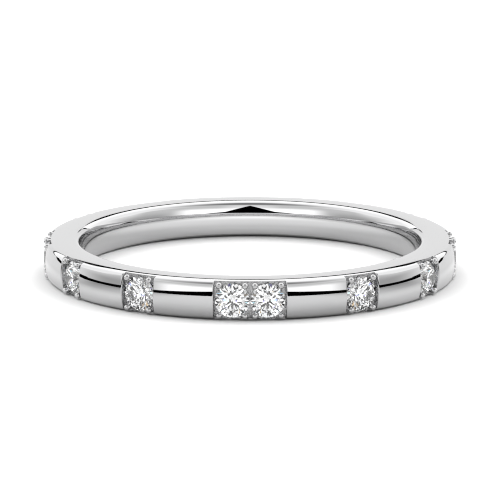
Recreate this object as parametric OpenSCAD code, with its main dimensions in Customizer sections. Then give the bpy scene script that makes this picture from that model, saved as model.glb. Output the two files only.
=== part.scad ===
// Diamond wedding band lying on its side: a polished band with sixteen round brilliants in bead settings.
// The origin is on the surface that the band rests on, under the middle of the finger hole, with +Z up.
// The pair of stones at the front faces -Y. All lengths are in millimetres and all angles in degrees.

/* [Band] */
// Diameter of the finger hole at its narrowest
bore_d = 17; // [15.6:0.1:20]
// Thickness of the band from the finger hole to the crest of the bars
band_t = 1.85; // [1.7:0.05:2.2]
// Width of the band between its two flat sides
band_w = 1.88; // [1.86:0.01:2.2]
// Radius of the dome across the outside and across the comfort-fit inside
dome_r = 3.1; // [2.8:0.1:6]
// Radius of the slight dome across each side
side_r = 8; // [5:0.5:12]
// Radius of the four rounded edges
corner_r = 0.23; // [0.15:0.01:0.3]
// Width of the flat ring on each side that the band rests on
flat_w = 0.2; // [0.1:0.02:0.4]
// Width of the straight ring inside, at the crest of the comfort-fit dome
land_w = 0.4; // [0.2:0.05:0.8]

/* [Stones] */
// Girdle diameter of each stone
stone_d = 1.65; // [1.5:0.01:1.66]
// Width of the table, as a share of the girdle diameter
table_ratio = 0.57; // [0.53:0.01:0.62]
// Slope of the large crown facets
crown_angle = 34.5; // [32:0.5:36]
// Slope of the large pavilion facets
pavilion_angle = 40.75; // [40:0.25:42]
// Thickness of the girdle at its thickest
girdle_t = 0.05; // [0.045:0.005:0.08]
// How far the star facets reach from the table towards the girdle
star_ratio = 0.5; // [0.4:0.05:0.6]
// How far the lower halves reach from the girdle towards the point below
lower_ratio = 0.77; // [0.7:0.01:0.85]
// Gap between the two stones of a pair, at the girdle
pair_gap = 0.04; // [0.02:0.01:0.1]

/* [Setting] */
// Depth of each cut below the crest of the bars
cut_depth = 0.35; // [0.32:0.01:0.4]
// Gap between a girdle and the end wall of its cut
wall_gap = 0.045; // [0.02:0.005:0.08]
// Gap between a stone and its seat
seat_gap = 0.015; // [0.01:0.005:0.03]
// Diameter of the round head of each bead
bead_d = 0.31; // [0.26:0.01:0.32]
// Diameter of the stem under each bead
stem_d = 0.22; // [0.16:0.01:0.23]
// Distance of each bead from its stone's middle, around the band
bead_along = 0.62; // [0.6:0.01:0.66]
// Distance of each bead from its stone's middle, across the band
bead_across = 0.73; // [0.72:0.01:0.75]
// Height of each bead's middle above the girdle
bead_lift = 0.12; // [0.11:0.01:0.15]

/* [Hidden] */
bore_r = bore_d / 2;
outer_r = bore_r + band_t;
half_w = band_w / 2;
stone_r = stone_d / 2;

// Levels of a stone along its own axis, from the middle of the girdle
table_r = stone_r * table_ratio;
crown_top = girdle_t / 2 + (stone_r - table_r) * tan(crown_angle);
culet = -girdle_t / 2 - stone_r * tan(pavilion_angle);

// The table is level with the crest of the bars
girdle_level = outer_r - crown_top;
deck_r = outer_r - cut_depth;
bead_level = girdle_level + bead_lift;

// Angles around the band
pair_angle = 2 * atan((stone_r + pair_gap / 2) / girdle_level);
stone_angle = 2 * atan(stone_r / girdle_level);
wall_angle = wall_gap / girdle_level * 180 / PI;
bar_angle = (90 - 4 * pair_angle) / 3;
step_angle = pair_angle + bar_angle;

// One quarter of the ring: the two halves of a pair and two single stones between them
quarter_stones = [pair_angle / 2, pair_angle / 2 + step_angle, 90 - pair_angle / 2 - step_angle,
                  90 - pair_angle / 2];
stone_angles = [for (quarter = [0:3]) for (a = quarter_stones) quarter * 90 + a];

// Each cut as [middle, half of its opening angle]
pair_cuts = [for (quarter = [0:3]) [quarter * 90, pair_angle / 2 + stone_angle / 2 + wall_angle]];
single_cuts = [for (n = [0:15]) if (n % 4 == 1 || n % 4 == 2) [stone_angles[n], stone_angle / 2 + wall_angle]];

$fn = 96;

function stone_name(n) = str("stone_", n < 10 ? "0" : "", n);
function polar(r, a) = r * [cos(a), sin(a)];
function angle_of(v) = atan2(v.y, v.x);

// The point that is ra from a and rb from b, on the left of the way from a to b
function meet(a, ra, b, rb) =
    let (d = norm(b - a), u = (b - a) / d, along = (d * d + ra * ra - rb * rb) / (2 * d))
    a + along * u + sqrt(ra * ra - along * along) * [-u.y, u.x];

// Cross-section of the band, with the distance from the ring's axis as x and the height as y.
// Six arcs make it: the two domes, the slight dome on each side and the four rounded edges.
side_middle = bore_r + band_t / 2;
dome_out = [outer_r - dome_r, 0];
dome_in = [bore_r + dome_r - land_w * land_w / (8 * dome_r), 0];
side_out = [side_middle + flat_w / 2, half_w - side_r];
side_in = [side_middle - flat_w / 2, half_w - side_r];
edge_out = meet(dome_out, dome_r - corner_r, side_out, side_r - corner_r);
edge_in = meet(side_in, side_r - corner_r, dome_in, dome_r - corner_r);

// What lies outside a rounded edge, between its two tangent points
module edge_waste(centre, first, last) {
    reach = 3 * corner_r;
    difference() {
        polygon([centre, centre + polar(reach, first), centre + polar(1.5 * reach, (first + last) / 2),
                 centre + polar(reach, last)]);
        translate(centre) circle(r = corner_r);
    }
}

// What lies above the slight dome of a side, from the flat ring outwards or inwards
module side_waste(centre, way) {
    difference() {
        translate([way > 0 ? centre.x : centre.x - band_t, 0]) square([band_t, band_w]);
        translate(centre) circle(r = side_r);
    }
}

module section() {
    difference() {
        intersection() {
            translate(dome_out) circle(r = dome_r);
            translate(dome_in) circle(r = dome_r);
            translate([bore_r, -half_w]) square([band_t + 1, band_w]);
        }
        for (flip = [0, 1]) mirror([0, flip]) {
            side_waste(side_out, 1);
            side_waste(side_in, -1);
            edge_waste(edge_out, angle_of(edge_out - dome_out), angle_of(edge_out - side_out));
            edge_waste(edge_in, angle_of(edge_in - side_in), angle_of(edge_in - dome_in));
        }
    }
}

// Puts what is modelled along +X, round the middle of the band's width, at an angle from the front
module place(angle) {
    translate([0, 0, half_w]) rotate([0, 0, angle - 90]) children();
}

module cut(half_angle) {
    far = 2 * outer_r;
    difference() {
        translate([0, 0, -band_w]) linear_extrude(height = 2 * band_w)
            polygon([[0, 0], polar(far, -half_angle), polar(far, half_angle)]);
        cylinder(h = 3 * band_w, r = deck_r, center = true);
    }
}

// A cone parallel to the pavilion, wide enough to leave the seat gap all round. It ends just above the floor
// of the cut, so that it leaves the end walls whole.
module seat() {
    tip = girdle_level + culet - seat_gap / cos(pavilion_angle);
    depth = deck_r + 0.02 - tip;
    translate([tip, 0, 0]) rotate([0, 90, 0]) cylinder(h = depth, r1 = 0, r2 = depth / tan(pavilion_angle));
}

module beads() {
    for (side = [-1, 1], end = [-1, 1]) translate([0, side * bead_along, end * bead_across]) {
        translate([bead_level, 0, 0]) sphere(d = bead_d);
        translate([deck_r - 0.1, 0, 0]) rotate([0, 90, 0]) cylinder(h = bead_level - deck_r + 0.1, d = stem_d);
    }
}

module band() {
    color([0.86, 0.86, 0.87]) {
        difference() {
            translate([0, 0, half_w]) rotate_extrude() section();
            for (c = concat(pair_cuts, single_cuts)) place(c[0]) cut(c[1]);
            for (angle = stone_angles) place(angle) seat();
        }
        for (angle = stone_angles) place(angle) beads();
    }
}

// Round brilliant. Points stand in rings around the stone's axis: the table, the star tips, the girdle's
// upper and lower edge, and the tips of the lower halves. Every facet is flat, so the girdle is scalloped.
star_r = (stone_r + table_r * cos(22.5)) * star_ratio + table_r * cos(22.5) * (1 - 2 * star_ratio);
star_z = girdle_t / 2 + (stone_r - star_r * cos(22.5)) * tan(crown_angle);
lower_r = stone_r * (1 - lower_ratio);
lower_z = -girdle_t / 2 - (stone_r - lower_r * cos(22.5)) * tan(pavilion_angle);

// Height at [x, y] of the plane through three points
function plane_z(a, b, c, x, y) = let (n = cross(b - a, c - a)) a.z - (n.x * (x - a.x) + n.y * (y - a.y)) / n.z;

// Girdle edge with 32 points: the odd ones lie on the plane of the half facet whose tip is at 22.5 degrees
function girdle_edge(level, tip_r, tip_z) =
    let (tip = [tip_r * cos(22.5), tip_r * sin(22.5), tip_z], main = [stone_r, 0, level],
         half = [stone_r * cos(22.5), stone_r * sin(22.5), level], odd = polar(stone_r, 11.25),
         dip = plane_z(tip, main, half, odd.x, odd.y))
    [for (j = [0:31]) let (p = polar(stone_r, j * 11.25)) [p.x, p.y, j % 2 == 0 ? level : dip]];

function ring8(r, z, start) = [for (k = [0:7]) let (p = polar(r, start + k * 45)) [p.x, p.y, z]];

stone_points = concat(ring8(table_r, crown_top, 0), ring8(star_r, star_z, 22.5),
                      girdle_edge(girdle_t / 2, star_r, star_z), girdle_edge(-girdle_t / 2, lower_r, lower_z),
                      ring8(lower_r, lower_z, 22.5), [[0, 0, culet]]);

function table(k) = k % 8;
function star(k) = 8 + (k + 8) % 8;
function upper(j) = 16 + (j + 32) % 32;
function lower(j) = 48 + (j + 32) % 32;
function lower_tip(k) = 80 + (k + 8) % 8;
point_below = 88;

stone_faces = [
    [for (k = [7:-1:0]) table(k)],
    for (k = [0:7]) [table(k), table(k + 1), star(k)],
    for (k = [0:7]) [table(k), star(k), upper(4 * k), star(k - 1)],
    for (k = [0:7]) [star(k), upper(4 * k + 2), upper(4 * k + 1), upper(4 * k)],
    for (k = [0:7]) [star(k), upper(4 * k + 4), upper(4 * k + 3), upper(4 * k + 2)],
    for (j = [0:31]) [upper(j), upper(j + 1), lower(j + 1), lower(j)],
    for (k = [0:7]) [lower_tip(k), lower(4 * k), lower(4 * k + 1), lower(4 * k + 2)],
    for (k = [0:7]) [lower_tip(k), lower(4 * k + 2), lower(4 * k + 3), lower(4 * k + 4)],
    for (k = [0:7]) [point_below, lower_tip(k - 1), lower(4 * k), lower_tip(k)],
];

module stone(angle) {
    color([0.93, 0.96, 1, 0.8])
        place(angle) translate([girdle_level, 0, 0]) rotate([0, 90, 0])
            polyhedron(points = stone_points, faces = stone_faces);
}

band();
for (n = [1:16]) stone(stone_angles[n - 1]);
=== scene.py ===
"""Diamond wedding band on a white studio floor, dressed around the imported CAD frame."""
import math

import bpy
import numpy as np
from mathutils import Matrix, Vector


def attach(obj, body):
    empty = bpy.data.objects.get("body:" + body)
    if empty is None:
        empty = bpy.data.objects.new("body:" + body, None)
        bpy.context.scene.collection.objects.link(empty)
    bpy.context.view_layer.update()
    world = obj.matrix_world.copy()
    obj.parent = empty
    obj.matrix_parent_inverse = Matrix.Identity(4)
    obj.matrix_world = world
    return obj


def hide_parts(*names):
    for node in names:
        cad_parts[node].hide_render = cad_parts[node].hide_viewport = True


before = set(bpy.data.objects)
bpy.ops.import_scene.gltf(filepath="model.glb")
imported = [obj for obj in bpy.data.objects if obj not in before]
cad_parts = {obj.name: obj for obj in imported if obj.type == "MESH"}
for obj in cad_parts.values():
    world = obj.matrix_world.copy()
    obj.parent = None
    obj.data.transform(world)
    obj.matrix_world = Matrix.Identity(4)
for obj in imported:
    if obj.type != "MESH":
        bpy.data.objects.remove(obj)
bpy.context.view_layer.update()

MM = 0.001

# The band's own sizes in millimetres, the same as in the CAD source
BORE_R = 8.5
OUTER_R = 10.35
HALF_W = 0.94
DOME_R = 3.1
SIDE_R = 8.0
CORNER_R = 0.23
FLAT_W = 0.2
LAND_W = 0.4
STONE_R = 0.825
TABLE_RATIO = 0.57
CROWN_ANGLE = math.radians(34.5)
PAVILION_ANGLE = math.radians(40.75)
GIRDLE_T = 0.05
PAIR_GAP = 0.04
CUT_DEPTH = 0.35
WALL_GAP = 0.045
SEAT_GAP = 0.015
STEM_R = 0.11
BEAD_ALONG = 0.62
BEAD_ACROSS = 0.73
BEAD_LIFT = 0.12
# Radius of the beads, 0.0002 mm under the CAD source's, so that they stay inside the CAD model's box
BEAD_R = 0.1548
# How far a bead's stem reaches below the deck
STEM_SUNK = 0.06
# Rounding of the ends of the polished bars, which is whole from 1 / BAR_EDGE_RISE of their height up
BAR_EDGE_R = 0.06
BAR_EDGE_RISE = 3.5

CROWN_TOP = GIRDLE_T / 2 + STONE_R * (1 - TABLE_RATIO) * math.tan(CROWN_ANGLE)
CULET = -GIRDLE_T / 2 - STONE_R * math.tan(PAVILION_ANGLE)
GIRDLE_LEVEL = OUTER_R - CROWN_TOP
DECK_R = OUTER_R - CUT_DEPTH
SEAT_TIP = GIRDLE_LEVEL + CULET - SEAT_GAP / math.cos(PAVILION_ANGLE)

PAIR_ANGLE = 2 * math.atan((STONE_R + PAIR_GAP / 2) / GIRDLE_LEVEL)
STONE_ANGLE = 2 * math.atan(STONE_R / GIRDLE_LEVEL)
WALL_ANGLE = WALL_GAP / GIRDLE_LEVEL
BAR_ANGLE = (math.pi / 2 - 4 * PAIR_ANGLE) / 3
SINGLE_HALF = STONE_ANGLE / 2 + WALL_ANGLE

# Mesh counts
DOME_STEPS = 8
FILLET_STEPS = 9
SIDE_STEPS = 4
BAR_STEPS = 16
END_STEPS = 4
CELL_STEPS = 10
ACROSS_STEPS = 10
BEAD_STEPS = 8
BEAD_SIDES = 16
# Rows of the deck from the cut's edge to the seat's rim, and of the seat from its rim down to its tip
DECK_SHARES = (0, 0.35, 0.7, 1)
SEAT_SHARES = (1, 0.6, 0.25, 0)
# Steps in a millimetre to which points are rounded when equal ones are merged
MERGE_STEPS = 1e5
# Length of an edge that counts as none, in millimetres
NO_LENGTH = 1e-7


def meet(a, ra, b, rb):
    """The point ra from a and rb from b, on the left of the way from a to b."""
    a, b = np.array(a), np.array(b)
    d = np.linalg.norm(b - a)
    u = (b - a) / d
    along = (d * d + ra * ra - rb * rb) / (2 * d)
    return a + along * u + math.sqrt(ra * ra - along * along) * np.array([-u[1], u[0]])


def angle_of(v):
    return math.atan2(v[1], v[0])


def arc(centre, radius, first, last, steps):
    """Rows of [r, z, normal r, normal z] along an arc of the cross-section."""
    t = np.linspace(first, last, steps + 1)
    n = np.stack([np.cos(t), np.sin(t)], 1)
    return np.hstack([np.array(centre) + radius * n, n])


def half_profile():
    """The band's section from the crest of the outside over the top to the crest of the inside."""
    middle = (BORE_R + OUTER_R) / 2
    dome_out = np.array([OUTER_R - DOME_R, 0.0])
    dome_in = np.array([BORE_R + DOME_R - LAND_W ** 2 / (8 * DOME_R), 0.0])
    side_out = np.array([middle + FLAT_W / 2, HALF_W - SIDE_R])
    side_in = np.array([middle - FLAT_W / 2, HALF_W - SIDE_R])
    edge_out = meet(dome_out, DOME_R - CORNER_R, side_out, SIDE_R - CORNER_R)
    edge_in = meet(side_in, SIDE_R - CORNER_R, dome_in, DOME_R - CORNER_R)
    low_out, high_out = angle_of(edge_out - dome_out), angle_of(edge_out - side_out)
    high_in, low_in = angle_of(edge_in - side_in), angle_of(edge_in - dome_in)
    deck = math.acos((DECK_R - side_out[0]) / SIDE_R)
    arcs = [
        arc(dome_out, DOME_R, 0.0, low_out, DOME_STEPS),
        arc(edge_out, CORNER_R, low_out, high_out, FILLET_STEPS),
        arc(side_out, SIDE_R, high_out, deck, 1),
        arc(side_out, SIDE_R, deck, math.pi / 2, SIDE_STEPS),
        arc(side_in, SIDE_R, math.pi / 2, high_in, SIDE_STEPS),
        arc(edge_in, CORNER_R, high_in, low_in, FILLET_STEPS),
        arc(dome_in, DOME_R, low_in, math.pi, DOME_STEPS),
    ]
    rows = [arcs[0]]
    for before, piece in zip(arcs, arcs[1:]):
        same = np.allclose(before[-1, :2], piece[0, :2])
        rows.append(piece[1:] if same else piece)
    # The deck meets the side where the third arc ends
    deck_row = DOME_STEPS + FILLET_STEPS + 1
    return np.vstack(rows), deck_row


# Finishes of the band's faces, in the order of its material slots
POLISHED = 0
CUT = 1
# The drilled seats have a dark base colour as painted shade under the stones
DRILLED_PAINTED_SHADE = 2


class Skin:
    """Collects faces with a normal at each corner, and makes one mesh of them."""

    def __init__(self):
        self.points, self.normals, self.sizes, self.finishes = [], [], [], []
        self.finish = POLISHED

    def face(self, points, normals):
        """One face, wound so that it looks the way its normals point."""
        across = np.cross(points[1] - points[0], points[2] - points[0])
        across -= np.cross(points[-1] - points[0], points[-2] - points[0])
        if across @ sum(normals) < 0:
            points, normals = points[::-1], normals[::-1]
        self.points.extend(points)
        self.normals.extend(normals)
        self.sizes.append(len(points))
        self.finishes.append(self.finish)

    def grid(self, points, normals):
        """Quads over a grid of points, with shape (rows, columns, 3)."""
        rows, columns = points.shape[:2]
        order = [(0, 0), (1, 0), (1, 1), (0, 1)]
        for i in range(rows - 1):
            for j in range(columns - 1):
                painted_corner_shade_mask = [points[i + u, j + v] for u, v in order]
                shades = [normals[i + u, j + v] for u, v in order]
                keep = [k for k in range(4) if np.linalg.norm(painted_corner_shade_mask[k] - painted_corner_shade_mask[k - 1]) > NO_LENGTH]
                if len(keep) > 2:
                    self.face([painted_corner_shade_mask[k] for k in keep], [shades[k] for k in keep])

    def sheet(self, rows):
        """Quads over rows of (point, normal) pairs."""
        pairs = np.array(rows)
        self.grid(pairs[:, :, 0], pairs[:, :, 1])

    def strips(self, strips):
        """Quads between strips, each given as (its points, their normals)."""
        both = np.array(strips)
        self.grid(both[:, 0], both[:, 1])

    def build(self, name):
        """One object in metres, with equal points merged and the normals kept as custom normals."""
        points = np.array(self.points)
        keys = np.rint(points * MERGE_STEPS).astype(np.int64)
        _, first, which = np.unique(keys, axis=0, return_index=True, return_inverse=True)
        which = which.reshape(-1)
        starts = np.concatenate([[0], np.cumsum(self.sizes)])
        faces = [which[a:b].tolist() for a, b in zip(starts, starts[1:])]
        mesh = bpy.data.meshes.new(name)
        mesh.from_pydata((points[first] * MM).tolist(), [], faces)
        mesh.shade_smooth()
        mesh.polygons.foreach_set("material_index", self.finishes)
        mesh.normals_split_custom_set([tuple(n) for n in self.normals])
        mesh.update()
        obj = bpy.data.objects.new(name, mesh)
        bpy.context.scene.collection.objects.link(obj)
        return obj


def turned(r, z, normal_r, normal_z, angle):
    """Points and normals of section rows at an angle from the front, towards +X."""
    s, c = math.sin(angle), math.cos(angle)
    points = np.stack([r * s, -r * c, z + HALF_W], -1)
    normals = np.stack([normal_r * s, -normal_r * c, normal_z], -1)
    return points, normals


def at_stone(angle, t, z, h, normal):
    """A point and a normal from a stone's own axes: t around the band, z up and h outwards."""
    s, c = math.sin(angle), math.cos(angle)
    nt, nz, nh = normal
    point = np.array([h * s + t * c, -h * c + t * s, z + HALF_W])
    return point, np.array([nh * s + nt * c, -nh * c + nt * s, nz])


HALF, DECK_ROW = half_profile()
MIRROR = HALF * np.array([1, -1, 1, -1])
# The body runs from the deck's upper edge over the top, down the inside and back under to its lower edge
BODY = np.vstack([HALF[DECK_ROW:], MIRROR[DECK_ROW:-1][::-1]])
# The crest runs from the deck's lower edge over the outside to its upper edge
CREST = np.vstack([MIRROR[1:DECK_ROW + 1][::-1], HALF[:DECK_ROW + 1]])
DECK_Z = HALF[DECK_ROW, 1]
LEVELS = np.linspace(-DECK_Z, DECK_Z, ACROSS_STEPS + 1)


def layout():
    """The stones' angles, and the cuts as (first angle, last angle, angles of its stones)."""
    stones, cuts = [], []
    step = PAIR_ANGLE + BAR_ANGLE
    reach = PAIR_ANGLE / 2 + SINGLE_HALF
    for quarter in range(4):
        base = quarter * math.pi / 2
        first = base + PAIR_ANGLE / 2
        last = base + math.pi / 2 - PAIR_ANGLE / 2
        singles = [first + step, last - step]
        stones.extend([first, *singles, last])
        cuts.append((base - reach, base + reach, [base - PAIR_ANGLE / 2, first]))
        for angle in singles:
            cuts.append((angle - SINGLE_HALF, angle + SINGLE_HALF, [angle]))
    return stones, sorted(cuts)


STONES, CUTS = layout()


def bar_columns(first, last):
    """Angles along a bar and their rounding phases: 0 on the bar and a right angle at each end wall."""
    phases = np.linspace(math.pi / 2, 0, END_STEPS + 1)
    run = BAR_EDGE_R * (1 - np.sin(phases)) / OUTER_R
    inner = np.linspace(first + run[-1], last - run[-1], BAR_STEPS + 1)
    angles = np.concatenate([first + run[:-1], inner, (last - run[:-1])[::-1]])
    phase = np.concatenate([-phases[:-1], np.zeros(BAR_STEPS + 1), phases[:-1][::-1]])
    return angles, phase


def rounded(rows, phase, angle):
    """The crest's rows near a bar's end, drawn in by the rounding, with normals that lean to the end."""
    r, z, nr, nz = rows.T
    share = np.clip((r - DECK_R) / (OUTER_R - DECK_R) * BAR_EDGE_RISE, 0, 1)
    share = share * share * (3 - 2 * share)
    inset = BAR_EDGE_R * (1 - math.cos(phase)) * share
    lean = math.sin(phase) * share
    flat = np.sqrt(1 - lean ** 2)
    points, normals = turned(r - inset * nr, z - inset * nz, nr * flat, nz * flat, angle)
    along = np.array([math.cos(angle), math.sin(angle), 0])
    return points, normals + lean[:, None] * along


def rim(way):
    """Distance from a stone's axis to the rim of its seat in a direction, where the cone meets the deck."""
    slope = math.tan(PAVILION_ANGLE)
    square = math.cos(way) ** 2 + slope ** 2
    line = SEAT_TIP * slope
    return (math.sqrt(line ** 2 + square * (DECK_R ** 2 - SEAT_TIP ** 2)) - line) / square


def deck_cell(skin, stone, first, last):
    """The floor of a cut round one stone, with the conical seat in it."""
    columns = np.linspace(first, last, CELL_STEPS + 1) - stone
    edge = [(a, -DECK_Z) for a in columns] + [(columns[-1], z) for z in LEVELS[1:-1]]
    edge += [(a, DECK_Z) for a in columns[::-1]] + [(columns[0], z) for z in LEVELS[1:-1][::-1]]
    edge.append(edge[0])
    inward, outward = math.sin(PAVILION_ANGLE), math.cos(PAVILION_ANGLE)
    deck, seat = [], []
    for a, z in edge:
        t = DECK_R * math.sin(a)
        way = math.atan2(z, t)
        rho = rim(way)
        rim_t, rim_z = rho * math.cos(way), rho * math.sin(way)
        row = []
        for share in DECK_SHARES:
            tt = t * (1 - share) + rim_t * share
            zz = z * (1 - share) + rim_z * share
            hh = math.sqrt(DECK_R ** 2 - tt ** 2)
            row.append(at_stone(stone, tt, zz, hh, (tt / DECK_R, 0, hh / DECK_R)))
        deck.append(row)
        normal = (-math.cos(way) * inward, -math.sin(way) * inward, outward)
        row = []
        for share in SEAT_SHARES:
            height = SEAT_TIP + rho * share * math.tan(PAVILION_ANGLE)
            row.append(at_stone(stone, rim_t * share, rim_z * share, height, normal))
        seat.append(row)
    skin.finish = CUT
    skin.sheet(deck)
    # The seats carry painted shade in their dark base colour
    skin.finish = DRILLED_PAINTED_SHADE
    skin.sheet(seat)
    skin.finish = POLISHED


def end_wall(skin, angle, phase):
    """The flat end of a bar, between its crest and the floor of the cut."""
    points, _ = rounded(CREST, phase, angle)
    ones = np.ones(len(LEVELS))
    deck, _ = turned(DECK_R * ones, LEVELS, ones, 0 * ones, angle)
    way = 1 if phase > 0 else -1
    normal = np.array([math.cos(angle), math.sin(angle), 0]) * way
    loop = list(points) + list(deck[::-1][1:-1])
    if way < 0:
        loop.reverse()
    skin.finish = CUT
    skin.face(loop, [normal] * len(loop))
    skin.finish = POLISHED


def bead(skin, stone, side, end):
    """A round bead on its stem, standing on the floor of the cut."""
    level = GIRDLE_LEVEL + BEAD_LIFT
    neck = math.asin(STEM_R / BEAD_R)
    # Rows of distance from the bead's axis, height, and the same two parts of the normal
    ball = [(BEAD_R * math.sin(t), level + BEAD_R * math.cos(t), math.sin(t), math.cos(t))
            for t in np.linspace(0, math.pi - neck, BEAD_STEPS + 1)]
    stem = [(STEM_R, ball[-1][1], 1, 0), (STEM_R, DECK_R - STEM_SUNK, 1, 0)]
    for profile in (ball, stem):
        rows = []
        for w in np.linspace(0, 2 * math.pi, BEAD_SIDES + 1):
            s, c = math.sin(w), math.cos(w)
            rows.append([at_stone(stone, side * BEAD_ALONG + rho * c, end * BEAD_ACROSS + rho * s, h,
                                  (out * c, out * s, up)) for rho, h, out, up in profile])
        skin.sheet(rows)


def make_band():
    """The cuts and bars all round from the front, the plain body that they lie on, and the beads."""
    skin = Skin()
    columns = []
    bar_ends = [cut[0] for cut in CUTS[1:]] + [CUTS[0][0] + 2 * math.pi]
    for (first, last, stones), bar_end in zip(CUTS, bar_ends):
        bounds = [first] + [(a + b) / 2 for a, b in zip(stones, stones[1:])] + [last]
        for stone, low, high in zip(stones, bounds, bounds[1:]):
            deck_cell(skin, stone, low, high)
            columns.extend(np.linspace(low, high, CELL_STEPS + 1)[:-1])
        angles, phases = bar_columns(last, bar_end)
        columns.extend(angles[:-1])
        skin.strips([rounded(CREST, phase, angle) for angle, phase in zip(angles, phases)])
        end_wall(skin, last, phases[0])
        end_wall(skin, bar_end, phases[-1])
    columns.append(columns[0] + 2 * math.pi)
    skin.strips([turned(*BODY.T, angle) for angle in columns])
    for stone in STONES:
        for side in (-1, 1):
            for end in (-1, 1):
                bead(skin, stone, side, end)
    return skin.build("polished_band")


# Degrees of turn from the front round to the back
HALF_TURN = 180


class Nodes:
    """Short forms for the nodes of a shader tree."""

    def __init__(self, tree):
        self.tree = tree

    def make(self, kind, **settings):
        """A new node with its settings."""
        node = self.tree.nodes.new(kind)
        for key, value in settings.items():
            setattr(node, key, value)
        return node

    def feed(self, socket, value):
        """A number is set on the socket itself, and an output is linked to it."""
        if isinstance(value, (int, float)):
            socket.default_value = value
        else:
            self.tree.links.new(value, socket)

    def math(self, operation, *values):
        """The result of one operation on numbers or outputs."""
        node = self.make("ShaderNodeMath", operation=operation)
        for socket, value in zip(node.inputs, values):
            self.feed(socket, value)
        return node.outputs[0]

    def ramp(self, value, low, high, start=0.0, end=1.0):
        """From start at low to end at high, eased at both ends."""
        node = self.make("ShaderNodeMapRange", interpolation_type="SMOOTHSTEP")
        names = ("Value", "From Min", "From Max", "To Min", "To Max")
        for name, v in zip(names, (value, low, high, start, end)):
            self.feed(node.inputs[name], v)
        return node.outputs["Result"]

    def window(self, value, low, high, soft):
        """1 between low and high and 0 outside, eased from soft before to soft after each of them."""
        return self.math("MULTIPLY", self.ramp(value, low - soft, low + soft),
                         self.ramp(value, high - soft, high + soft, 1.0, 0.0))

    def curve(self, value, points, low, high):
        """A height read off a curve through points of turn and height, which lie between low and high."""
        node = self.make("ShaderNodeFloatCurve")
        line = node.mapping.curves[0]
        for turn, height in points[1:-1]:
            line.points.new(turn / HALF_TURN, (height - low) / (high - low))
        for end, (turn, height) in ((0, points[0]), (-1, points[-1])):
            line.points[end].location = (turn / HALF_TURN, (height - low) / (high - low))
        node.mapping.update()
        self.feed(node.inputs["Value"], self.math("MULTIPLY", value, 1 / HALF_TURN))
        return self.math("ADD", self.math("MULTIPLY", node.outputs["Value"], high - low), low)

    def mix(self, share, a, b):
        """From a at a share of 0 to b at a share of 1."""
        node = self.make("ShaderNodeMix", data_type="FLOAT")
        for name, v in (("Factor", share), ("A", a), ("B", b)):
            self.feed(node.inputs[name], v)
        return node.outputs["Result"]

    def mix_colour(self, share, plain, socket):
        """From a plain colour at 0 to a socket's colour at 1."""
        node = self.make("ShaderNodeMix", data_type="RGBA", blend_type="MIX")
        self.feed(node.inputs["Factor"], share)
        node.inputs["A"].default_value = plain
        self.tree.links.new(socket, node.inputs["B"])
        return node.outputs["Result"]


BLACK = (0, 0, 0, 1)
WHITE = (1, 1, 1, 1)
# Values between which most of a noise lies
NOISE_LOW = 0.35
NOISE_HIGH = 0.75


def new_material(name):
    material = bpy.data.materials.new(name)
    material.use_nodes = True
    tree = material.node_tree
    return material, tree, tree.nodes["Principled BSDF"]


def metal(name, colour, smooth, rough, grain):
    """White gold whose roughness wanders between two values over a fine grain."""
    material, tree, shader = new_material(name)
    shader.inputs["Base Color"].default_value = colour
    shader.inputs["Metallic"].default_value = 1
    coords = tree.nodes.new("ShaderNodeTexCoord")
    wear = tree.nodes.new("ShaderNodeTexNoise")
    wear.inputs["Scale"].default_value = grain
    wear.inputs["Detail"].default_value = 4
    spread = tree.nodes.new("ShaderNodeMapRange")
    spread.inputs["From Min"].default_value = NOISE_LOW
    spread.inputs["From Max"].default_value = NOISE_HIGH
    spread.inputs["To Min"].default_value = smooth
    spread.inputs["To Max"].default_value = rough
    tree.links.new(coords.outputs["Object"], wear.inputs["Vector"])
    tree.links.new(wear.outputs["Fac"], spread.inputs["Value"])
    tree.links.new(spread.outputs["Result"], shader.inputs["Roughness"])
    return material, tree, shader, wear


def polished():
    """The mirror polish of the bars, the sides, the inside and the beads."""
    return metal("polished_white_gold", (0.65, 0.65, 0.655, 1), smooth=0.02, rough=0.05, grain=900)[0]


def cut_metal():
    """The floors and end walls of the cuts, which keep the fine marks of the graver."""
    material, tree, shader, wear = metal("graver_cut_white_gold", (0.55, 0.55, 0.556, 1),
                                         smooth=0.08, rough=0.22, grain=8000)
    bump = tree.nodes.new("ShaderNodeBump")
    bump.inputs["Strength"].default_value = 1
    bump.inputs["Distance"].default_value = 0.06 * MM
    tree.links.new(wear.outputs["Fac"], bump.inputs["Height"])
    tree.links.new(bump.outputs["Normal"], shader.inputs["Normal"])
    return material


def drilled_metal_painted_shade():
    """The seats under the stones, which the drill leaves dull, with a dark base colour that is painted
    shade in the hollows under the stones.
    """
    return metal("drilled_white_gold_painted_shade", (0.3, 0.3, 0.303, 1), smooth=0.35, rough=0.6, grain=6000)[0]


# Roughness of the frosted girdle, of the haze on the facets, and the noise over which the haze grows
GIRDLE_ROUGH = 0.3
HAZE_ROUGH = 0.006
HAZE_NOISE = (0.4, 0.8)
# A facet belongs to the girdle if its normal has less than this along the stone's axis
GIRDLE_LEAN = 0.3


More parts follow.
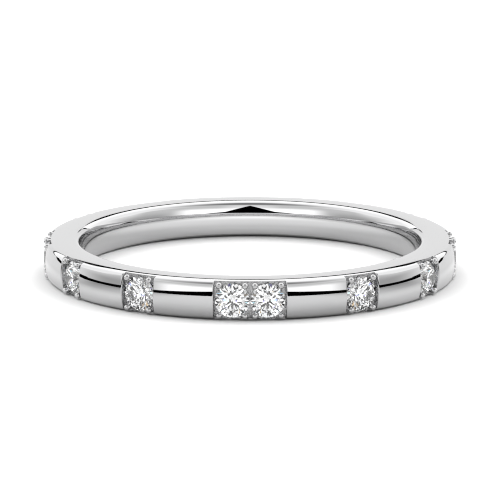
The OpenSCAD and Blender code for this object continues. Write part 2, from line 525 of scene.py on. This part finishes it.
def diamond():
    """Clear stone with faint polishing haze on its facets and a frosted girdle."""
    material, tree, shader = new_material("brilliant_diamond")
    shader.inputs["Base Color"].default_value = WHITE
    shader.inputs["IOR"].default_value = 2.42
    shader.inputs["Specular IOR Level"].default_value = 0.15
    shader.inputs["Transmission Weight"].default_value = 1
    n = Nodes(tree)
    coords = n.make("ShaderNodeTexCoord")
    # A stone's axis points away from the ring's own, so the girdle's facets stand square to that direction
    flat = n.make("ShaderNodeVectorMath", operation="MULTIPLY")
    flat.inputs[1].default_value = (1, 1, 0)
    tree.links.new(coords.outputs["Object"], flat.inputs[0])
    outward = n.make("ShaderNodeVectorMath", operation="NORMALIZE")
    tree.links.new(flat.outputs["Vector"], outward.inputs[0])
    lean = n.make("ShaderNodeVectorMath", operation="DOT_PRODUCT")
    tree.links.new(outward.outputs["Vector"], lean.inputs[0])
    tree.links.new(coords.outputs["Normal"], lean.inputs[1])
    girdle = n.math("LESS_THAN", n.math("ABSOLUTE", lean.outputs["Value"]), GIRDLE_LEAN)
    haze = n.make("ShaderNodeTexNoise")
    haze.inputs["Scale"].default_value = 5000
    tree.links.new(coords.outputs["Object"], haze.inputs["Vector"])
    polish = n.ramp(haze.outputs["Fac"], *HAZE_NOISE, 0.0, HAZE_ROUGH)
    tree.links.new(n.mix(girdle, polish, GIRDLE_ROUGH), shader.inputs["Roughness"])
    return material


# White of the floor as everything but the metal sees it
FLOOR_WHITE = 0.91
# Painted shade and painted light on the floor, which only the metal's reflections see: its white in the
# open, at the front corners, and close beside the ring
PAINTED_OPEN_SHADE = 0.61
PAINTED_CORNER_SHADE = 0.25
PAINTED_BESIDE_LIGHT = 0.86
# The same painted light and shade inside the ring: at the middle, halfway out, the painted light added near
# the band, and the sides' share
PAINTED_MIDDLE_LIGHT = 0.94
PAINTED_HALFWAY_SHADE = 0.7
PAINTED_RIM_LIGHT = 0.26
PAINTED_INNER_SIDE_SHADE = 0.86
# Where these begin and end in millimetres: to the side, towards the back, or away from the middle
CORNER_SIDE = (6.5, 15.5)
CORNER_BACK = (-7, -2)
BESIDE_SIDE = (4.5, 8.5)
BESIDE_AWAY = (10.6, 13.5)
MIDDLE_AWAY = (0, 5)
RIM_AWAY = (7, 8.4)
INNER_SIDE = (1, 4.5)


def floor_paper():
    """White paper with painted shade and painted light that only the metal's reflections see: dimmer in the
    open and at the front corners of the table, brighter close beside the ring and inside it.
    """
    material, tree, shader = new_material("studio_floor")
    shader.inputs["Roughness"].default_value = 0.9
    shader.inputs["Specular IOR Level"].default_value = 0
    n = Nodes(tree)
    coords = n.make("ShaderNodeTexCoord")
    split = n.make("ShaderNodeSeparateXYZ")
    tree.links.new(coords.outputs["Object"], split.inputs["Vector"])
    length = n.make("ShaderNodeVectorMath", operation="LENGTH")
    tree.links.new(coords.outputs["Object"], length.inputs[0])
    side, back, away = n.math("ABSOLUTE", split.outputs["X"]), split.outputs["Y"], length.outputs["Value"]

    def fade(value, places, start, end):
        """From start to end between two places in millimetres."""
        return n.ramp(value, places[0] * MM, places[1] * MM, start, end)

    # Painted shade at the front corners, painted light close beside the ring, and painted light and shade
    # inside the ring
    painted_corner_shade_mask = n.math("MULTIPLY", fade(side, CORNER_SIDE, 0.0, 1.0), fade(back, CORNER_BACK, 1.0, 0.0))
    beside = n.math("MULTIPLY", fade(side, BESIDE_SIDE, 0.0, 1.0), fade(away, BESIDE_AWAY, 1.0, 0.0))
    outside = n.mix(beside, n.mix(painted_corner_shade_mask, PAINTED_OPEN_SHADE, PAINTED_CORNER_SHADE), PAINTED_BESIDE_LIGHT)
    inside = n.math("ADD", fade(away, MIDDLE_AWAY, PAINTED_MIDDLE_LIGHT, PAINTED_HALFWAY_SHADE),
                    fade(away, RIM_AWAY, 0.0, PAINTED_RIM_LIGHT))
    inside = n.math("MULTIPLY", inside, fade(side, INNER_SIDE, 1.0, PAINTED_INNER_SIDE_SHADE))
    painted_light_and_shade = n.mix(n.math("LESS_THAN", away, BORE_R * MM), outside, inside)
    # Glossy rays see the floor with this painted light and shade, all other rays see the plain white
    rays = n.make("ShaderNodeLightPath")
    white = n.mix(rays.outputs["Is Glossy Ray"], FLOOR_WHITE, painted_light_and_shade)
    colour = n.make("ShaderNodeCombineXYZ")
    for socket in colour.inputs:
        n.feed(socket, white)
    tree.links.new(colour.outputs["Vector"], shader.inputs["Base Color"])
    return material


# Half of the table top's outline from the front to the back, in millimetres
FLOOR_EDGE = [(3, -25.4), (7.4, -24.3), (12.3, -17.6), (15.3, -10), (16.8, -4.5), (24, 5), (30, 30)]


def make_floor():
    """The white table top that the ring lies on, whose outline the band reflects."""
    outline = FLOOR_EDGE + [(-x, y) for x, y in FLOOR_EDGE[::-1]]
    mesh = bpy.data.meshes.new("studio_floor")
    mesh.from_pydata([(x * MM, y * MM, 0) for x, y in outline], [], [list(range(len(outline)))])
    obj = bpy.data.objects.new("studio_floor", mesh)
    bpy.context.scene.collection.objects.link(obj)
    mesh.materials.append(floor_paper())


# Camera fitted to the ring's outlines in the photograph, in units of a tenth of the outer radius
UNIT = OUTER_R / 10 * MM
CAMERA_REACH = 157.37 * UNIT
CAMERA_RISE = math.radians(12.527)
FOCUS_PX = 3235.6
PHOTO_PX = 500
CENTRE_DROP_PX = 4.508
SENSOR_MM = 36

# Brightness of the walls, their gain behind the ring, and the soft dark place high above the front
WALL_LIGHT = 1.28
BEHIND_GAIN = 1.15
DARK_LIGHT = 0.22
# Brightness of the grey panels at the sides, their feet, the strip light in front and the backdrop's sweep
SIDE_LIGHT = 0.82
SIDE_FOOT_LIGHT = 0.5
STRIP_LIGHT = 1.7
BACKDROP_LIGHT = 1.0
# Light on the floor: from all round, what the back and the sides add, and the least there is
OPEN_LIGHT = 0.86
OPEN_BACK = 0.8
OPEN_SIDE = 5.5
OPEN_LEAST = 0.1
# Brightness of the white that the camera sees beyond the floor, and gain of what a stone sees
BEYOND_LIGHT = 1.3
STONE_GAIN = 1.68

# Places in the studio, in degrees of turn from the front or of height above the floor
DARK_HEIGHT = 60
DARK_CORE = 7
DARK_REACH = 60
BEHIND_TURN = (125, 150)
PANEL_TURN = (15, 84)
PANEL_SOFT = 9
PANEL_TOP = (18, 42)
FOOT_START = (50, 68)
FOOT_END = (82, 122)
FOOT_TOP = (1, 12)
STRIP_END = (40, 58)
STRIP_TOP = (8, 13.5)
# Where the strong light from the sides begins, from the front (-1) to the back (1)
SIDE_START = (-0.4, 0.3)
# Softness of the upper edges of the backdrop's sweep and of the table's black edge
LINE_SOFT = 0.3
# Tops of the black notch and the black edge beside it: height in front, and fall per degree of turn
DARK_TOPS = [(15.9, 0.68), (7.3, 0.175), (2.6, 0.08), (-4.5, 0)]
DARK_END = (107, 118)
# The dark joint that runs along the sides and climbs into an arch behind, as turn and height
JOINT = [(0, -9), (90, -6), (118, -4.2), (130, -3.4), (136, -2), (139.5, 3), (142.5, 8), (147, 13),
         (152, 17), (158, 19.7), (164, 20.5), (170, 19.6), (174.5, 17), (177.5, 15.6), (180, 15.3)]
JOINT_RANGE = (-20, 40)
JOINT_START = 100
# Half of the joint's width at the sides and in the arch, and where it changes
JOINT_HALF = 1.4
JOINT_THIN = 0.85
JOINT_THINS = (131, 137)

# Colours that the stones break out of the walls' light, by their place on a scale from 0 to 1
FIRE = [(0.395, (0, 0, 0)), (0.403, (0.25, 0.2, 0.8)), (0.411, (0.5, 0.95, 1)), (0.42, (1, 1, 1)),
        (0.574, (1, 1, 1)), (0.579, (1, 0.65, 0.25)), (0.584, (0, 0, 0))]
# Scale and detail of the noise that picks these places
FIRE_SCALE = 7.5
FIRE_DETAIL = 2
# Half of the angle of the lens's dark disc, as the stones see it, in degrees
LENS_HALF = 9


def degrees(n, angle):
    return n.math("MULTIPLY", angle, HALF_TURN / math.pi)


def facing(n, y, z, rise):
    """Cosine of the angle to the place straight in front of the ring that is rise radians up."""
    return n.math("ADD", n.math("MULTIPLY", y, -math.cos(rise)), n.math("MULTIPLY", z, math.sin(rise)))


def wall_light(n, y, z, turn, height):
    """White walls with a soft dark place high above the front, grey side panels and a strip light."""
    cosine = n.math("MINIMUM", facing(n, y, z, math.radians(DARK_HEIGHT)), 1.0)
    away = degrees(n, n.math("ARCCOSINE", cosine))
    light = n.ramp(away, DARK_CORE, DARK_REACH, DARK_LIGHT, WALL_LIGHT)
    light = n.math("MULTIPLY", light, n.ramp(turn, *BEHIND_TURN, 1.0, BEHIND_GAIN))
    panel = n.window(turn, *PANEL_TURN, PANEL_SOFT)
    panel = n.math("MULTIPLY", panel, n.ramp(height, *PANEL_TOP, 1.0, 0.0))
    light = n.mix(panel, light, SIDE_LIGHT)
    foot = n.math("MULTIPLY", n.ramp(turn, *FOOT_START), n.ramp(turn, *FOOT_END, 1.0, 0.0))
    foot = n.math("MULTIPLY", foot, n.ramp(height, *FOOT_TOP, 1.0, 0.0))
    light = n.mix(foot, light, SIDE_FOOT_LIGHT)
    strip = n.math("MULTIPLY", n.ramp(turn, *STRIP_END, 1.0, 0.0), n.ramp(height, *STRIP_TOP, 1.0, 0.0))
    return n.mix(strip, light, STRIP_LIGHT)


def backdrop_and_joint(n, light, turn, height):
    """The light with the backdrop's sweep, and the place of the dark joint that arches above it."""
    joint, before, after = (n.curve(n.math("ADD", turn, step), JOINT, *JOINT_RANGE)
                            for step in (0.0, -1.0, 1.0))
    above = n.math("SUBTRACT", height, joint)
    light = n.mix(n.ramp(above, -LINE_SOFT, LINE_SOFT, 1.0, 0.0), light, BACKDROP_LIGHT)
    # Where the joint is steep its half width is stretched upwards, so that it looks as thin as elsewhere
    slope = n.math("MULTIPLY", n.math("SUBTRACT", after, before), 0.5)
    stretch = n.math("SQRT", n.math("ADD", n.math("MULTIPLY", slope, slope), 1.0))
    half = n.math("MULTIPLY", n.ramp(turn, *JOINT_THINS, JOINT_HALF, JOINT_THIN), stretch)
    seam = n.math("MULTIPLY", n.math("LESS_THAN", n.math("ABSOLUTE", above), half),
                  n.math("GREATER_THAN", turn, JOINT_START))
    return light, seam


def table_edge(n, turn, height):
    """Where the black edge of the table lies, which falls away to the sides from a notch in the middle."""
    tops = [n.math("SUBTRACT", start, n.math("MULTIPLY", turn, fall)) for start, fall in DARK_TOPS]
    top = tops[0]
    for other in tops[1:]:
        top = n.math("MAXIMUM", top, other)
    return n.math("MULTIPLY", n.ramp(n.math("SUBTRACT", height, top), -LINE_SOFT, LINE_SOFT, 1.0, 0.0),
                  n.ramp(turn, *DARK_END, 1.0, 0.0))


def open_light(n, x, y):
    """The soft light that reaches the floor, most from the sides and from behind."""
    back = n.math("ADD", n.math("MULTIPLY", y, OPEN_BACK), OPEN_LIGHT)
    beside = n.math("MULTIPLY", n.math("ABSOLUTE", x), n.ramp(y, *SIDE_START, 0.0, OPEN_SIDE))
    return n.math("MAXIMUM", n.math("ADD", beside, back), OPEN_LEAST)


def fire_colour(n, x, y, z):
    """Small bright, dark and coloured pieces, the same left and right, with the lens as a dark disc."""
    mirrored = n.make("ShaderNodeCombineXYZ")
    for socket, value in zip(mirrored.inputs, (n.math("ABSOLUTE", x), y, z)):
        n.feed(socket, value)
    grain = n.make("ShaderNodeTexNoise")
    grain.inputs["Scale"].default_value = FIRE_SCALE
    grain.inputs["Detail"].default_value = FIRE_DETAIL
    n.feed(grain.inputs["Vector"], mirrored.outputs["Vector"])
    fire = n.make("ShaderNodeValToRGB")
    scale = fire.color_ramp.elements
    while len(scale) < len(FIRE):
        scale.new(1)
    for stop, (place, colour) in zip(scale, FIRE):
        stop.position = place
        stop.color = (*colour, 1)
    n.feed(fire.inputs["Fac"], grain.outputs["Fac"])
    outside_lens = n.math("LESS_THAN", facing(n, y, z, CAMERA_RISE), math.cos(math.radians(LENS_HALF)))
    return n.mix_colour(outside_lens, BLACK, fire.outputs["Color"])


def make_world():
    """The studio: turn is the angle from the front and height the angle above the floor, in degrees."""
    world = bpy.data.worlds.new("studio")
    bpy.context.scene.world = world
    world.use_nodes = True
    tree = world.node_tree
    background = tree.nodes["Background"]
    n = Nodes(tree)
    coords = n.make("ShaderNodeTexCoord")
    split = n.make("ShaderNodeSeparateXYZ")
    tree.links.new(coords.outputs["Generated"], split.inputs["Vector"])
    x, y, z = split.outputs
    height = degrees(n, n.math("ARCSINE", z))
    turn = degrees(n, n.math("ARCTAN2", n.math("ABSOLUTE", x), n.math("MULTIPLY", y, -1.0)))

    light = wall_light(n, y, z, turn, height)
    light, seam = backdrop_and_joint(n, light, turn, height)
    light = n.mix(n.math("MAXIMUM", table_edge(n, turn, height), seam), light, 0.0)

    # The floor has a light of its own, the stones see the walls brighter, and the camera sees plain white
    rays = n.make("ShaderNodeLightPath")
    through = n.math("GREATER_THAN", rays.outputs["Transmission Depth"], 0.5)
    light = n.mix(rays.outputs["Is Diffuse Ray"], light, open_light(n, x, y))
    light = n.math("MULTIPLY", light, n.mix(through, 1.0, STONE_GAIN))
    light = n.mix(rays.outputs["Is Camera Ray"], light, BEYOND_LIGHT)
    tree.links.new(light, background.inputs["Strength"])
    colour = n.mix_colour(through, WHITE, fire_colour(n, x, y, z))
    tree.links.new(colour, background.inputs["Color"])


def make_camera():
    """The photograph's camera, which looks at the middle of the ring from the front."""
    data = bpy.data.cameras.new("camera")
    data.sensor_width = SENSOR_MM
    data.lens = SENSOR_MM * FOCUS_PX / PHOTO_PX
    data.shift_y = CENTRE_DROP_PX / PHOTO_PX
    data.clip_start = 0.01
    data.clip_end = 10
    camera = bpy.data.objects.new("camera", data)
    bpy.context.scene.collection.objects.link(camera)
    back = Vector((0, -math.cos(CAMERA_RISE), math.sin(CAMERA_RISE)))
    camera.location = Vector((0, 0, HALF_W * MM)) + back * CAMERA_REACH
    camera.rotation_euler = (-back).to_track_quat("-Z", "Y").to_euler()
    bpy.context.scene.camera = camera


make_camera()
make_world()
make_floor()

band = make_band()
for finish in (polished(), cut_metal(), drilled_metal_painted_shade()):
    band.data.materials.append(finish)
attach(band, "root")
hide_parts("band")

clear = diamond()
for number in range(1, len(STONES) + 1):
    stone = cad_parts[f"stone_{number:02d}"]
    for material_slot in stone.material_slots:
        material_slot.material = clear

# Enough bounces for the light inside the stones, and a filter as sharp as the photograph
scene = bpy.context.scene
scene.view_settings.view_transform = "Standard"
scene.cycles.use_denoising = True
scene.cycles.filter_width = 1.1
scene.cycles.max_bounces = 24
scene.cycles.transmission_bounces = 20
scene.cycles.glossy_bounces = 10
scene.cycles.sample_clamp_indirect = 0
scene.cycles.caustics_reflective = False
scene.cycles.caustics_refractive = False
